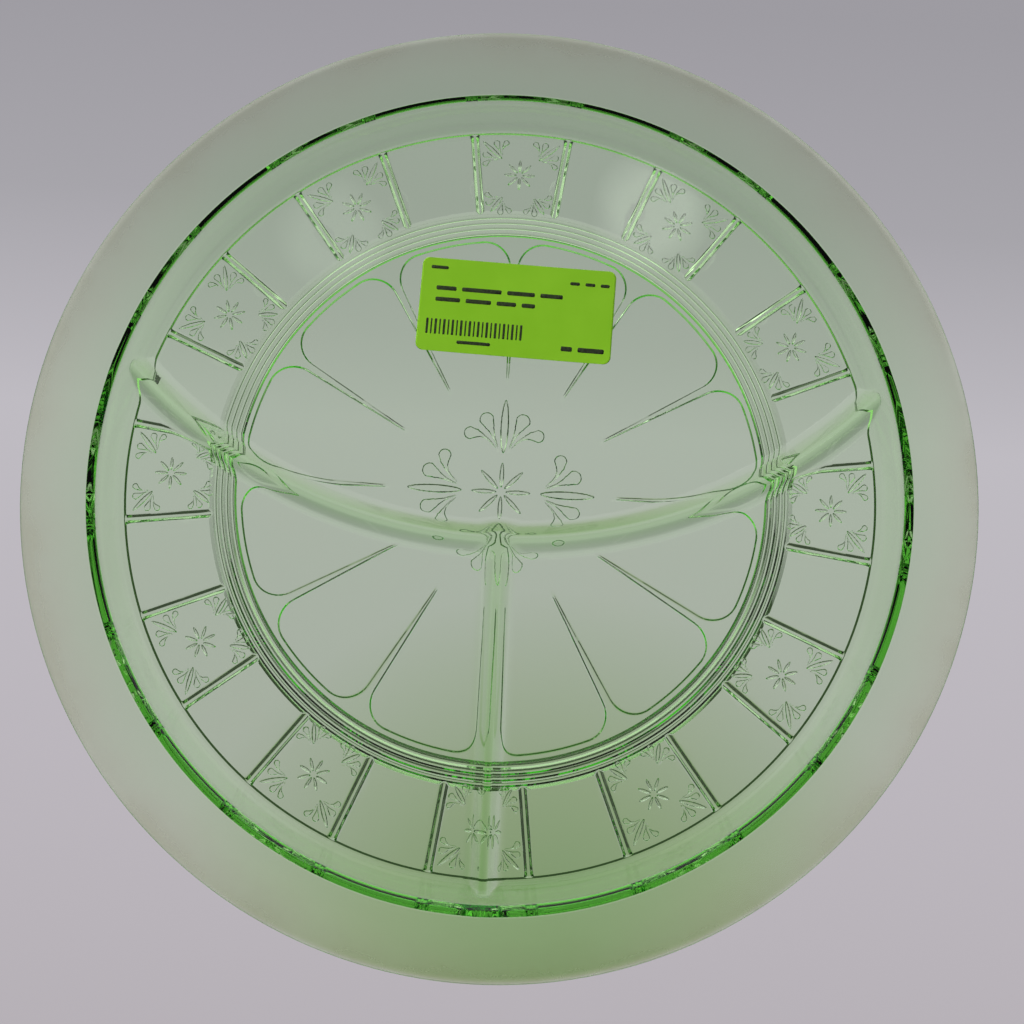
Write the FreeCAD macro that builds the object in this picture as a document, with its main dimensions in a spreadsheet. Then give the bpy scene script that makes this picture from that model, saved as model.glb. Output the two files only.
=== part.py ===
import FreeCAD, Part
import math
import os

import Sketcher
from FreeCAD import Placement, Rotation, Vector

# A round pressed-glass serving dish for three kinds of food, and the paper
# price label on its face.
#
# Frame: millimetres, +Z up. The origin is under the middle of the dish, on the
# plane that its foot rings stand on. The straight divider runs along -Y.
#
# The smooth face with the dividers is on top. The moulded pattern (foot rings,
# spokes between the petals, ribs between the border panels) is underneath.

# ---------------------------------------------------------------------------
# Driving dimensions: (alias, value, what it is). Angles are in degrees.
# ---------------------------------------------------------------------------
DIMENSIONS = [
    ("rim_radius", 120.65, "outside of the rim: 9 1/2 inches across"),
    ("dish_height", 17.0, "foot rings to the top of the rim"),
    ("rim_edge_bend", 1.7, "radius of the rounded edge of the rim"),
    ("rim_slope", 16.2, "slope of the top of the rim"),
    ("rim_root_radius", 107.0, "where the rim springs from the outer wall"),
    ("rim_root_height", 9.0, "height of that corner"),
    ("shoulder_bend", 2.5, "inside bend from wall to rim"),
    ("wall_angle", 62.0, "slope of the inner wall"),
    ("floor_bend", 1.8, "inside bend from floor to wall"),
    ("floor_edge_radius", 98.6, "where the flat floor ends"),
    ("floor_height", 5.6, "top face of the floor"),
    ("base_height", 1.3, "underside of the ground between the petals"),
    ("well_radius", 68.5, "outer arcs of the twelve petals"),
    ("well_height", 1.9, "underside of the petals"),
    ("band_height", 0.6, "underside of the low band that carries the foot rings"),
    ("band_slope", 0.7, "width in plan of the slopes on both sides of the band"),
    ("panel_height", 1.5, "underside of the border panels"),
    ("crease_radius", 99.3, "middle of the step down at the ends of the panels"),
    ("crease_width", 0.8, "width of that step in plan"),
    ("crease_height", 0.4, "underside outside the step"),
    ("heel_radius", 101.0, "where the heel starts to turn up"),
    ("heel_height", 0.6, "height there"),
    ("heel_bend", 4.5, "bend from underside to outer wall"),
    ("outer_wall_bend", 30.0, "slight crown of the outer wall"),
    ("ring_count", 4, "foot rings"),
    ("ring_radius", 71.3, "innermost foot ring"),
    ("ring_pitch", 1.5, "from one foot ring to the next"),
    ("ring_width", 1.4, "a foot ring where it meets the band"),
    ("ring_foot", 0.4, "the flat that a foot ring stands on"),
    ("spoke_count", 12, "spokes, one between each two petals"),
    ("spoke_start", 29.0, "radius where a spoke begins"),
    ("spoke_point", 0.2, "width of a spoke there"),
    ("spoke_width", 2.0, "width of a spoke beside the petal corners"),
    ("petal_corner", 7.5, "radius of the outer corners of a petal"),
    ("rib_count", 24, "ribs between the border panels"),
    ("rib_turn", 7.5, "angle of the first rib"),
    ("rib_start", 76.6, "radius where a rib begins"),
    ("rib_width", 2.4, "width of a rib at its base"),
    ("rib_crest", 0.6, "width of its flat crest"),
    ("rib_bottom", 0.5, "height of its crest above the ground"),
    ("divider_radius", 136.0, "plan radius of the curved divider"),
    ("divider_apex", 12.9, "curved divider to the centre of the dish"),
    ("divider_height", 4.8, "crest of the dividers above the floor"),
    ("divider_foot", 6.6, "width of a divider at the floor"),
    ("divider_crest", 1.5, "radius of its rounded crest"),
    ("divider_reach", 110.0, "dividers are made this long, then trimmed"),
    ("divider_turn", 0.8, "turn of the dividers against the pattern"),
    ("trim_radius_low", 102.3, "inside the wall at floor level"),
    ("trim_radius_high", 104.4, "inside the wall above the dividers"),
    ("embed", 0.6, "depth by which added glass enters the glass it joins"),
    ("label_length", 52.0, "price label, along its long side"),
    ("label_width", 25.5, "price label, along its short side"),
    ("label_corner", 2.0, "radius of its corners"),
    ("label_paper", 0.15, "thickness of the paper and its glue"),
    ("label_x", 1.3, "centre of the label"),
    ("label_y", 48.6, "centre of the label"),
    ("label_turn", -1.4, "turn of the label, anticlockwise"),
]
SIZE = {alias: value for alias, value, _ in DIMENSIONS}

ORIGIN = (-1, 1)
X_AXIS = -1
Y_AXIS = -2
START, END, CENTRE = 1, 2, 3


def make_sheet(doc):
    """Write the driving dimensions into the spreadsheet called Sizes."""
    sheet = doc.addObject("Spreadsheet::Sheet", "Sizes")
    for row, (alias, value, meaning) in enumerate(DIMENSIONS, start=1):
        sheet.set(f"A{row}", meaning)
        sheet.set(f"B{row}", str(value))
        sheet.setAlias(f"B{row}", alias)
    doc.recompute()
    return sheet


# ---------------------------------------------------------------------------
# Small helpers for bodies and sketches
# ---------------------------------------------------------------------------
def origin_feature(body, role):
    """Return one of the body's own origin planes or axes."""
    for feature in body.Origin.OriginFeatures:
        if feature.Role == role:
            return feature
    raise ValueError(f"{body.Name} has no {role}")


def make_sketch(body, name, plane, offset=None):
    """Start a sketch on one of the body's origin planes."""
    sketch = body.newObject("Sketcher::SketchObject", name)
    sketch.AttachmentSupport = [(origin_feature(body, plane), "")]
    sketch.MapMode = "FlatFace"
    if offset is not None:
        sketch.AttachmentOffset = offset
    return sketch


def line(start, end):
    return Part.LineSegment(Vector(*start, 0), Vector(*end, 0))


def arc_through(start, middle, end):
    return Part.Arc(Vector(*start, 0), Vector(*middle, 0), Vector(*end, 0))


def arc_about(centre, radius, first, last):
    """Arc round a centre, anticlockwise from one angle to another."""
    circle = Part.Circle(Vector(*centre, 0), Vector(0, 0, 1), radius)
    return Part.ArcOfCircle(circle, math.radians(first), math.radians(last))


def bind(sketch, index, name, expression):
    """Name a constraint and drive it from the spreadsheet."""
    sketch.renameConstraint(index, name)
    sketch.setExpression(f"Constraints.{name}", expression)


def place(sketch, name, geometry, end, across=None, along=None):
    """Hold a point at distances from the sketch's origin.

    across and along are spreadsheet expressions for its X and Y, or 0 for a
    point on the Y or X axis. A leading minus puts it on the negative side.
    """
    point = sketch.getPoint(geometry, end)
    wanted = (("DistanceX", across, point.x, Y_AXIS), ("DistanceY", along, point.y, X_AXIS))
    for kind, expression, now, axis in wanted:
        if expression is None:
            continue
        if expression == 0:
            sketch.addConstraint(Sketcher.Constraint("PointOnObject", geometry, end, axis))
            continue
        ends = (*ORIGIN, geometry, end)
        if expression.startswith("-"):
            ends = (geometry, end, *ORIGIN)
            expression = expression[1:]
        index = sketch.addConstraint(Sketcher.Constraint(kind, *ends, abs(now)))
        bind(sketch, index, f"{name}_{kind[-1].lower()}", expression)


def size_radius(sketch, name, geometry, expression):
    """Hold an arc at a radius from the spreadsheet."""
    now = sketch.Geometry[geometry].Radius
    index = sketch.addConstraint(Sketcher.Constraint("Radius", geometry, now))
    bind(sketch, index, name, expression)


def chain(sketch, joins):
    """Join each piece of geometry to the next, smoothly or at a corner."""
    for first, first_end, kind, second, second_end in joins:
        sketch.addConstraint(Sketcher.Constraint(kind, first, first_end, second, second_end))


def close_corners(sketch, count, first=0):
    """Join lines drawn in order, end to start, and the last to the first."""
    for step in range(count):
        here = first + step
        after = first + (step + 1) % count
        sketch.addConstraint(Sketcher.Constraint("Coincident", here, END, after, START))


def solve(sketch):
    """Stop if a sketch has no solution or is left free to move."""
    if sketch.solve() != 0 or not sketch.FullyConstrained:
        raise RuntimeError(f"sketch {sketch.Name} is not fully constrained")


# ---------------------------------------------------------------------------
# The glass: one turned section, then the ridges of the pattern
# ---------------------------------------------------------------------------
def draw_section(body):
    """Half section of the dish, from the axis out to the rim and back."""
    edge = SIZE["rim_edge_bend"]
    edge_radius = SIZE["rim_radius"] - edge
    edge_height = SIZE["dish_height"] - edge
    slope = SIZE["rim_slope"]
    root = (SIZE["rim_root_radius"], SIZE["rim_root_height"])
    heel = (SIZE["heel_radius"], SIZE["heel_height"])
    step = (SIZE["well_radius"], SIZE["base_height"])
    well = (SIZE["well_radius"], SIZE["well_height"])
    floor = (SIZE["floor_edge_radius"], SIZE["floor_height"])
    band_in = SIZE["ring_radius"] - SIZE["ring_width"] / 2
    band_out = SIZE["ring_radius"] + (SIZE["ring_count"] - 1) * SIZE["ring_pitch"]
    band_out += SIZE["ring_width"] / 2
    low_in = (band_in, SIZE["band_height"])
    low_out = (band_out, SIZE["band_height"])
    base_end = (band_in - SIZE["band_slope"], SIZE["base_height"])
    panel = (band_out + SIZE["band_slope"], SIZE["panel_height"])
    crease_in = (SIZE["crease_radius"] - SIZE["crease_width"] / 2, SIZE["panel_height"])
    crease_out = (SIZE["crease_radius"] + SIZE["crease_width"] / 2, SIZE["crease_height"])

    # First guesses for the points that the tangents settle.
    heel_middle = (heel[0] + 2.1, heel[1] + 0.8)
    heel_end = (heel[0] + 3.2, heel[1] + 2.1)
    wall_middle = (root[0] - 1.2, root[1] - 3.1)
    under_edge = (edge_radius + 0.5, edge_height - 1.6)
    over_edge = (edge_radius - 0.5, edge_height + 1.6)
    wall_foot = (floor[0] + 1.6, floor[1] + 0.9)
    shoulder_in = (floor[0] + 4.3, floor[1] + 6.0)
    shoulder_out = (floor[0] + 5.7, floor[1] + 7.3)
    shoulder_middle = (floor[0] + 4.9, floor[1] + 6.8)

    sketch = make_sketch(body, "DishSection", "XZ_Plane")
    sketch.addGeometry([
        line((0, well[1]), well),
        line(well, step),
        line(step, base_end),
        line(base_end, low_in),
        line(low_in, low_out),
        line(low_out, panel),
        line(panel, crease_in),
        line(crease_in, crease_out),
        line(crease_out, heel),
        arc_through(heel, heel_middle, heel_end),
        arc_through(heel_end, wall_middle, root),
        line(root, under_edge),
        arc_about((edge_radius, edge_height), edge, slope - 90, slope + 90),
        line(over_edge, shoulder_out),
        arc_through(shoulder_out, shoulder_middle, shoulder_in),
        line(shoulder_in, wall_foot),
        arc_through(floor, (floor[0] + 0.9, floor[1] + 0.2), wall_foot),
        line(floor, (0, floor[1])),
        line((0, floor[1]), (0, well[1])),
    ], False)
    (under, riser, base, band_rise, band, band_fall, panels, crease, heel_line, heel_arc,
     wall_arc, rim_under, rim_edge, rim_top, shoulder, wall, floor_arc, floor_line,
     axis) = range(19)

    chain(sketch, [
        (under, END, "Coincident", riser, START),
        (riser, END, "Coincident", base, START),
        (base, END, "Coincident", band_rise, START),
        (band_rise, END, "Coincident", band, START),
        (band, END, "Coincident", band_fall, START),
        (band_fall, END, "Coincident", panels, START),
        (panels, END, "Coincident", crease, START),
        (crease, END, "Coincident", heel_line, START),
        (heel_line, END, "Tangent", heel_arc, START),
        (heel_arc, END, "Tangent", wall_arc, START),
        (wall_arc, END, "Coincident", rim_under, START),
        (rim_under, END, "Tangent", rim_edge, START),
        (rim_edge, END, "Tangent", rim_top, START),
        (rim_top, END, "Tangent", shoulder, START),
        (shoulder, END, "Tangent", wall, START),
        (wall, END, "Tangent", floor_arc, END),
        (floor_arc, START, "Tangent", floor_line, START),
        (floor_line, END, "Coincident", axis, START),
        (axis, END, "Coincident", under, START),
    ])
    for flat in (under, base, band, panels, floor_line):
        sketch.addConstraint(Sketcher.Constraint("Horizontal", flat))
    sketch.addConstraint(Sketcher.Constraint("Vertical", riser))

    place(sketch, "well_middle", under, START, 0, "Sizes.well_height")
    place(sketch, "well_step", riser, END, "Sizes.well_radius", "Sizes.base_height")
    inner = "Sizes.ring_radius - Sizes.ring_width / 2"
    outer = "Sizes.ring_radius + (Sizes.ring_count - 1) * Sizes.ring_pitch + Sizes.ring_width / 2"
    place(sketch, "base_end", base, END, f"{inner} - Sizes.band_slope")
    place(sketch, "band_in", band, START, inner, "Sizes.band_height")
    place(sketch, "band_out", band, END, outer)
    place(sketch, "panel_in", panels, START, f"{outer} + Sizes.band_slope", "Sizes.panel_height")
    place(sketch, "panel_out", panels, END, "Sizes.crease_radius - Sizes.crease_width / 2")
    place(sketch, "crease", crease, END,
          "Sizes.crease_radius + Sizes.crease_width / 2", "Sizes.crease_height")
    place(sketch, "heel", heel_line, END, "Sizes.heel_radius", "Sizes.heel_height")
    place(sketch, "rim_root", wall_arc, END, "Sizes.rim_root_radius", "Sizes.rim_root_height")
    place(sketch, "rim_edge", rim_edge, CENTRE,
          "Sizes.rim_radius - Sizes.rim_edge_bend", "Sizes.dish_height - Sizes.rim_edge_bend")
    place(sketch, "floor_edge", floor_line, START, "Sizes.floor_edge_radius", "Sizes.floor_height")
    place(sketch, "floor_middle", axis, START, 0)
    size_radius(sketch, "heel_bend", heel_arc, "Sizes.heel_bend")
    size_radius(sketch, "outer_wall_bend", wall_arc, "Sizes.outer_wall_bend")
    size_radius(sketch, "rim_edge_bend", rim_edge, "Sizes.rim_edge_bend")
    size_radius(sketch, "shoulder_bend", shoulder, "Sizes.shoulder_bend")
    size_radius(sketch, "floor_bend", floor_arc, "Sizes.floor_bend")
    angle = math.radians(180 - SIZE["wall_angle"])
    index = sketch.addConstraint(Sketcher.Constraint("Angle", wall, END, floor_line, START, angle))
    bind(sketch, index, "wall_angle", "180 deg - Sizes.wall_angle * 1 deg")
    angle = math.radians(180 + slope)
    index = sketch.addConstraint(Sketcher.Constraint("Angle", rim_top, angle))
    bind(sketch, index, "rim_slope", "180 deg + Sizes.rim_slope * 1 deg")
    solve(sketch)
    return sketch


def draw_foot_rings(body):
    """Four narrow ridges, flat at the bottom, which the dish stands on."""
    sketch = make_sketch(body, "FootRings", "XZ_Plane")
    for ring in range(int(SIZE["ring_count"])):
        middle = SIZE["ring_radius"] + ring * SIZE["ring_pitch"]
        wide = SIZE["ring_width"] / 2
        flat = SIZE["ring_foot"] / 2
        base = SIZE["band_height"]
        top = base + SIZE["embed"]
        corners = [(middle - flat, 0), (middle + flat, 0), (middle + wide, base),
                   (middle + wide, top), (middle - wide, top), (middle - wide, base)]
        first = len(sketch.Geometry)
        sketch.addGeometry([line(a, b) for a, b in zip(corners, corners[1:] + corners[:1])], False)
        close_corners(sketch, len(corners), first)
        centre = f"Sizes.ring_radius + {ring} * Sizes.ring_pitch"
        heights = [0, 0, "Sizes.band_height", "Sizes.band_height + Sizes.embed",
                   "Sizes.band_height + Sizes.embed", "Sizes.band_height"]
        sides = ["- Sizes.ring_foot / 2", "+ Sizes.ring_foot / 2", "+ Sizes.ring_width / 2",
                 "+ Sizes.ring_width / 2", "- Sizes.ring_width / 2", "- Sizes.ring_width / 2"]
        for corner, (side, height) in enumerate(zip(sides, heights)):
            name = f"ring{ring}_{corner}"
            place(sketch, name, first + corner, START, f"{centre} {side}", height)
    solve(sketch)
    return sketch


def draw_spoke(body):
    """Spoke along +X: a long taper that flares round the petal corners."""
    corner = SIZE["petal_corner"]
    reach = SIZE["well_radius"]
    start = SIZE["spoke_start"]
    tip = SIZE["spoke_point"] / 2
    half = SIZE["spoke_width"] / 2
    centre_across = half + corner
    centre_along = math.sqrt((reach - corner) ** 2 - centre_across ** 2)
    lean = math.degrees(math.atan2(centre_across, centre_along))
    side_end = (centre_along, half)
    rim_end = (reach * math.cos(math.radians(lean)), reach * math.sin(math.radians(lean)))
    back = (rim_end[0] + 1.5, rim_end[1])

    level = Placement(Vector(0, 0, SIZE["base_height"]), Rotation())
    sketch = make_sketch(body, "SpokeOutline", "XY_Plane", level)
    sketch.setExpression("AttachmentOffset.Base.z", "Sizes.base_height")
    sketch.addGeometry([
        line((start, tip), side_end),
        arc_about((centre_along, centre_across), corner, 270, 360 + lean),
        line(rim_end, back),
        line(back, (back[0], -back[1])),
        line((back[0], -back[1]), (rim_end[0], -rim_end[1])),
        arc_about((centre_along, -centre_across), corner, -lean, 90),
        line((side_end[0], -side_end[1]), (start, -tip)),
        line((start, -tip), (start, tip)),
    ], False)
    side, flare, out, chord, out_low, flare_low, side_low, point = range(8)
    chain(sketch, [
        (side, END, "Tangent", flare, START),
        (flare, END, "Coincident", out, START),
        (out, END, "Coincident", chord, START),
        (chord, END, "Coincident", out_low, START),
        (out_low, END, "Coincident", flare_low, START),
        (flare_low, END, "Coincident", side_low, START),
        (side_low, END, "Coincident", point, START),
        (point, END, "Coincident", side, START),
    ])
    circle = sketch.addGeometry(Part.Circle(Vector(), Vector(0, 0, 1), reach), True)
    sketch.addConstraint(Sketcher.Constraint("Coincident", circle, CENTRE, *ORIGIN))
    size_radius(sketch, "well_radius", circle, "Sizes.well_radius")
    size_radius(sketch, "petal_corner", flare, "Sizes.petal_corner")
    sketch.addConstraint(Sketcher.Constraint("Tangent", flare, END, circle))
    sketch.addConstraint(Sketcher.Constraint("Horizontal", out))
    sketch.addConstraint(Sketcher.Constraint("Equal", flare, flare_low))
    mirrored = ((side, START, side_low, END), (side, END, side_low, START),
                (flare, END, flare_low, START), (out, END, out_low, START))
    for upper, upper_end, lower, lower_end in mirrored:
        sketch.addConstraint(
            Sketcher.Constraint("Symmetric", upper, upper_end, lower, lower_end, X_AXIS))
    place(sketch, "spoke_point", side, START, "Sizes.spoke_start", "Sizes.spoke_point / 2")
    place(sketch, "spoke_side", side, END, None, "Sizes.spoke_width / 2")
    place(sketch, "spoke_back", out, END, "Sizes.well_radius + Sizes.embed")
    solve(sketch)
    return sketch


def draw_rib(body):
    """Cross-section of the first rib, drawn at its inner end."""
    turn = Rotation(Vector(0, 1, 0), SIZE["rib_turn"])
    start = turn.multVec(Vector(0, 0, SIZE["rib_start"]))
    sketch = make_sketch(body, "RibSection", "YZ_Plane", Placement(start, turn))
    sketch.setExpression("AttachmentOffset.Base.x", "Sizes.rib_start * sin(Sizes.rib_turn * 1 deg)")
    sketch.setExpression("AttachmentOffset.Base.z", "Sizes.rib_start * cos(Sizes.rib_turn * 1 deg)")
    wide = SIZE["rib_width"] / 2
    crest = SIZE["rib_crest"] / 2
    low = SIZE["rib_bottom"]
    high = SIZE["panel_height"] + SIZE["embed"]
    corners = [(-crest, low), (crest, low), (wide, high), (-wide, high)]
    sketch.addGeometry([line(a, b) for a, b in zip(corners, corners[1:] + corners[:1])], False)
    close_corners(sketch, len(corners))
    top = "Sizes.panel_height + Sizes.embed"
    place(sketch, "crest_left", 0, START, "-Sizes.rib_crest / 2", "Sizes.rib_bottom")
    place(sketch, "crest_right", 1, START, "Sizes.rib_crest / 2", "Sizes.rib_bottom")
    place(sketch, "base_right", 2, START, "Sizes.rib_width / 2", top)
    place(sketch, "base_left", 3, START, "-Sizes.rib_width / 2", top)
    solve(sketch)
    return sketch


def repeat_round(body, feature, name, count):
    """Repeat a feature evenly round the vertical axis."""
    pattern = body.newObject("PartDesign::PolarPattern", name)
    pattern.Originals = [feature]
    pattern.Axis = (origin_feature(body, "Z_Axis"), [""])
    pattern.Angle = 360
    pattern.Occurrences = int(SIZE[count])
    pattern.setExpression("Occurrences", f"Sizes.{count}")
    body.Tip = pattern
    return pattern


def make_blank(doc):
    """The turned glass with its foot rings, spokes and ribs."""
    body = doc.addObject("PartDesign::Body", "GlassBlank")

    section = draw_section(body)
    turned = body.newObject("PartDesign::Revolution", "TurnedDish")
    turned.Profile = section
    turned.ReferenceAxis = (section, ["V_Axis"])
    turned.Angle = 360
    doc.recompute()

    rings = draw_foot_rings(body)
    feet = body.newObject("PartDesign::Revolution", "TurnedFeet")
    feet.Profile = rings
    feet.ReferenceAxis = (rings, ["V_Axis"])
    feet.Angle = 360
    doc.recompute()

    spoke = body.newObject("PartDesign::Pad", "Spoke")
    spoke.Profile = draw_spoke(body)
    spoke.Length = SIZE["well_height"] - SIZE["base_height"] + SIZE["embed"]
    spoke.setExpression("Length", "Sizes.well_height - Sizes.base_height + Sizes.embed")
    doc.recompute()
    repeat_round(body, spoke, "Spokes", "spoke_count")
    doc.recompute()

    rib = body.newObject("PartDesign::Pad", "Rib")
    rib.Profile = draw_rib(body)
    rib.Length = SIZE["crease_radius"] + SIZE["crease_width"] / 2 - SIZE["rib_start"]
    rib.setExpression("Length", "Sizes.crease_radius + Sizes.crease_width / 2 - Sizes.rib_start")
    doc.recompute()
    repeat_round(body, rib, "Ribs", "rib_count")
    doc.recompute()
    return body


# ---------------------------------------------------------------------------
# The dividers: a curved ridge across the dish and a straight one below it
# ---------------------------------------------------------------------------
def draw_divider(body, name, plane, offset, middle):
    """Cross-section of a divider, its crest over the given distance."""
    half = SIZE["divider_foot"] / 2
    crest = SIZE["divider_crest"]
    floor = SIZE["floor_height"] - SIZE["embed"]
    height = SIZE["floor_height"] + SIZE["divider_height"] - crest
    lean = 20
    rise = crest * math.sin(math.radians(lean))
    side = crest * math.cos(math.radians(lean))
    sketch = make_sketch(body, name, plane, offset)
    sketch.addGeometry([
        line((middle - half, floor), (middle + half, floor)),
        line((middle + half, floor), (middle + side, height + rise)),
        arc_about((middle, height), crest, lean, 180 - lean),
        line((middle - side, height + rise), (middle - half, floor)),
    ], False)
    bottom, right, top, left = range(4)
    chain(sketch, [
        (bottom, END, "Coincident", right, START),
        (right, END, "Tangent", top, START),
        (top, END, "Tangent", left, START),
        (left, END, "Coincident", bottom, START),
    ])
    size_radius(sketch, "divider_crest", top, "Sizes.divider_crest")
    return sketch


def make_dividers(doc):
    """Both dividers, longer than the dish is wide, before they are trimmed."""
    body = doc.addObject("PartDesign::Body", "DividerRidges")
    level = "Sizes.floor_height - Sizes.embed"
    crest = "Sizes.floor_height + Sizes.divider_height - Sizes.divider_crest"

    # The curved divider is a short turn about a distant upright axis.
    reach = SIZE["divider_radius"]
    axis = Placement(Vector(reach - SIZE["divider_apex"], 0, 0), Rotation())
    curved = draw_divider(body, "CurvedSection", "YZ_Plane", axis, -reach)
    curved.setExpression("AttachmentOffset.Base.x", "Sizes.divider_radius - Sizes.divider_apex")
    place(curved, "crest", 2, CENTRE, "-Sizes.divider_radius", crest)
    place(curved, "foot_low", 0, START, "-(Sizes.divider_radius + Sizes.divider_foot / 2)", level)
    place(curved, "foot_high", 0, END, "-(Sizes.divider_radius - Sizes.divider_foot / 2)", level)
    solve(curved)
    sweep = body.newObject("PartDesign::Revolution", "CurvedDivider")
    sweep.Profile = curved
    sweep.ReferenceAxis = (curved, ["V_Axis"])
    sweep.Midplane = True
    sweep.Angle = 2 * math.degrees(math.asin(SIZE["divider_reach"] / reach))
    sweep.setExpression("Angle", "2 * asin(Sizes.divider_reach / Sizes.divider_radius)")
    doc.recompute()

    # The straight divider runs from under the curved one towards -Y.
    start = Placement(Vector(0, 0, SIZE["divider_apex"]), Rotation())
    straight = draw_divider(body, "StraightSection", "XZ_Plane", start, 0)
    straight.setExpression("AttachmentOffset.Base.z", "Sizes.divider_apex")
    place(straight, "crest", 2, CENTRE, 0, crest)
    place(straight, "foot_left", 0, START, "-Sizes.divider_foot / 2", level)
    place(straight, "foot_right", 0, END, "Sizes.divider_foot / 2", level)
    solve(straight)
    run = body.newObject("PartDesign::Pad", "StraightDivider")
    run.Profile = straight
    run.Length = SIZE["divider_reach"] - SIZE["divider_apex"]
    run.setExpression("Length", "Sizes.divider_reach - Sizes.divider_apex")
    doc.recompute()

    body.Placement = Placement(Vector(), Rotation(Vector(0, 0, 1), SIZE["divider_turn"]))
    body.setExpression("Placement.Rotation.Angle", "Sizes.divider_turn * 1 deg")
    return body


def make_trim_cone(doc):
    """Upright cone inside the dish wall, where the dividers have to end."""
    cone = doc.addObject("Part::Cone", "InsideWall")
    low = "Sizes.floor_height - 2 * Sizes.embed"
    cone.setExpression("Radius1", "Sizes.trim_radius_low")
    cone.setExpression("Radius2", "Sizes.trim_radius_high")
    cone.setExpression("Height", "Sizes.divider_height + 3 * Sizes.embed")
    cone.setExpression("Placement.Base.z", low)
    return cone


def make_dish(doc):
    """Blank and trimmed dividers as the one piece of glass that they are."""
    blank = make_blank(doc)
    ridges = make_dividers(doc)
    cone = make_trim_cone(doc)
    trimmed = doc.addObject("Part::Common", "TrimmedDividers")
    trimmed.Base = ridges
    trimmed.Tool = cone
    dish = doc.addObject("Part::Fuse", "Dish")
    dish.Base = blank
    dish.Tool = trimmed
    dish.Label = "pressed_glass_dish"
    doc.recompute()
    return dish


# ---------------------------------------------------------------------------
# The price label: a small rounded rectangle of paper, stuck to the floor
# ---------------------------------------------------------------------------
def make_label(doc):
    body = doc.addObject("PartDesign::Body", "Label")
    body.Label = "price_label"
    half_long = SIZE["label_length"] / 2
    half_wide = SIZE["label_width"] / 2
    bend = SIZE["label_corner"]
    inner_x = half_long - bend
    inner_y = half_wide - bend

    level = Placement(Vector(0, 0, SIZE["floor_height"]), Rotation())
    sketch = make_sketch(body, "LabelOutline", "XY_Plane", level)
    sketch.setExpression("AttachmentOffset.Base.z", "Sizes.floor_height")
    sketch.addGeometry([
        line((-inner_x, -half_wide), (inner_x, -half_wide)),
        arc_about((inner_x, -inner_y), bend, 270, 360),
        line((half_long, -inner_y), (half_long, inner_y)),
        arc_about((inner_x, inner_y), bend, 0, 90),
        line((inner_x, half_wide), (-inner_x, half_wide)),
        arc_about((-inner_x, inner_y), bend, 90, 180),
        line((-half_long, inner_y), (-half_long, -inner_y)),
        arc_about((-inner_x, -inner_y), bend, 180, 270),
    ], False)
    pieces = len(sketch.Geometry)
    for piece in range(pieces):
        after = (piece + 1) % pieces
        sketch.addConstraint(Sketcher.Constraint("Tangent", piece, END, after, START))
    for corner in (3, 5, 7):
        sketch.addConstraint(Sketcher.Constraint("Equal", 1, corner))
    size_radius(sketch, "label_corner", 1, "Sizes.label_corner")
    length = "Sizes.label_length / 2"
    width = "Sizes.label_width / 2"
    for side, direction in enumerate(("Horizontal", "Vertical", "Horizontal", "Vertical")):
        sketch.addConstraint(Sketcher.Constraint(direction, 2 * side))
    place(sketch, "side_low", 0, START, None, f"-{width}")
    place(sketch, "side_right", 2, START, length)
    place(sketch, "side_high", 4, START, None, width)
    place(sketch, "side_left", 6, START, f"-{length}")
    solve(sketch)

    paper = body.newObject("PartDesign::Pad", "Paper")
    paper.Profile = sketch
    paper.Length = SIZE["label_paper"]
    paper.setExpression("Length", "Sizes.label_paper")
    body.Placement = Placement(Vector(), Rotation(Vector(0, 0, 1), SIZE["label_turn"]))
    body.setExpression("Placement.Rotation.Angle", "Sizes.label_turn * 1 deg")
    body.setExpression("Placement.Base.x", "Sizes.label_x")
    body.setExpression("Placement.Base.y", "Sizes.label_y")
    doc.recompute()
    return body


# ---------------------------------------------------------------------------
# Checks and output
# ---------------------------------------------------------------------------
def check_document(doc):
    """Stop if any object of the document failed to build."""
    doc.recompute()
    for thing in doc.Objects:
        if "Invalid" in thing.State or "Error" in thing.State:
            raise RuntimeError(f"{thing.Name} failed: {thing.State}")


def check_piece(piece):
    """Stop if a piece isn't one valid solid."""
    shape = piece.Shape
    if shape.isNull() or not shape.isValid() or len(shape.Solids) != 1:
        raise RuntimeError(f"{piece.Label} is not one valid solid")
    box = shape.optimalBoundingBox()
    print(f"{piece.Label}: {shape.Volume / 1000:.2f} cm3, "
          f"{box.XLength:.2f} x {box.YLength:.2f} x {box.ZLength:.2f} mm, "
          f"z {box.ZMin:.3f} to {box.ZMax:.3f}")


def main():
    doc = FreeCAD.newDocument("PressedGlassDish")
    make_sheet(doc)
    pieces = [make_dish(doc), make_label(doc)]
    check_document(doc)
    for piece in pieces:
        check_piece(piece)
    os.makedirs("parts", exist_ok=True)
    for piece in pieces:
        piece.Shape.exportStep(f"parts/{piece.Label}.step")


main()
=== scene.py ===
import math

import bpy
import numpy as np
from mathutils import Matrix, Vector


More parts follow.
